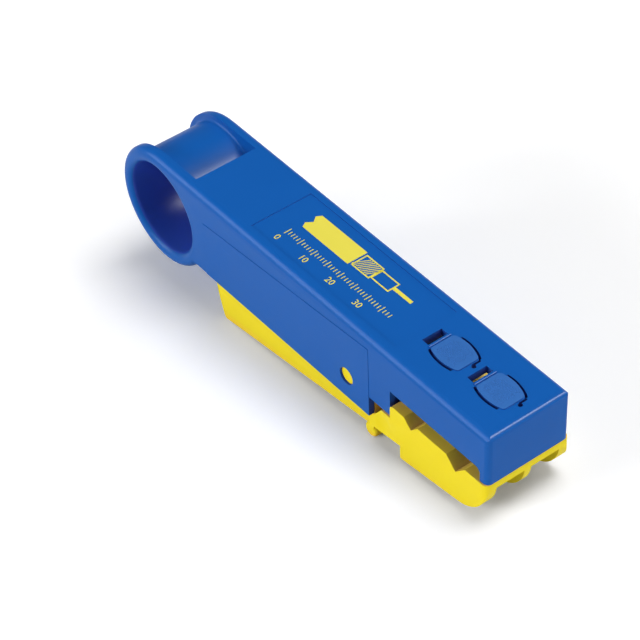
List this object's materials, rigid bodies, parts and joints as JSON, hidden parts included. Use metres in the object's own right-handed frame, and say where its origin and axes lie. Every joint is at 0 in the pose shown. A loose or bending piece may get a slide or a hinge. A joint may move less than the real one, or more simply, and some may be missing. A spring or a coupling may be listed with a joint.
{
  "type": "coaxial cable stripper",
  "caption": "Hand-held coaxial cable stripper with a finger ring to spin it by, a sprung lower jaw with V notches, and blade packs that cut jacket and core.",
  "frame": {"origin": "on the axis of the finger hole, midway between the two side faces", "axes": "+X from the finger ring to the nose, +Y across the tool along the finger hole, +Z towards the top face with the two spring tongues"},
  "size_m": [0.1405, 0.0248, 0.0381],
  "materials": {
    "body_plastic": "satin, moulded in colour",
    "lever_plastic": "satin, moulded in colour",
    "pack_plastic": "matt, fine texture",
    "blade_steel": "ground",
    "pin_steel": "drawn wire",
    "spring_steel": "drawn wire"
  },
  "bodies": {
    "body": {"body": "body_plastic", "lever_spring": "spring_steel", "rear_pack_near_plate": "pack_plastic", "rear_pack_far_plate": "pack_plastic", "rear_pack_spacer": "pack_plastic", "rear_pack_deep_blade": "blade_steel", "rear_pack_shallow_blade": "blade_steel", "rear_pack_front_pin": "pin_steel", "rear_pack_back_pin": "pin_steel", "front_pack_near_plate": "pack_plastic", "front_pack_far_plate": "pack_plastic", "front_pack_spacer": "pack_plastic", "front_pack_deep_blade": "blade_steel", "front_pack_shallow_blade": "blade_steel", "front_pack_front_pin": "pin_steel", "front_pack_back_pin": "pin_steel"},
    "lever": {"jaw_lever": "lever_plastic"}
  },
  "joints": [
    {"name": "jaw_pivot", "type": "hinge", "parent": "body", "child": "lever", "pos_m": [0.0743, 0, -0.0017], "axis": [0, 1, 0], "range_deg": [0, 14], "stiffness_Nm_per_rad": 0.6, "springref_deg": -28.65, "deforming": ["lever_spring"]}
  ]
}
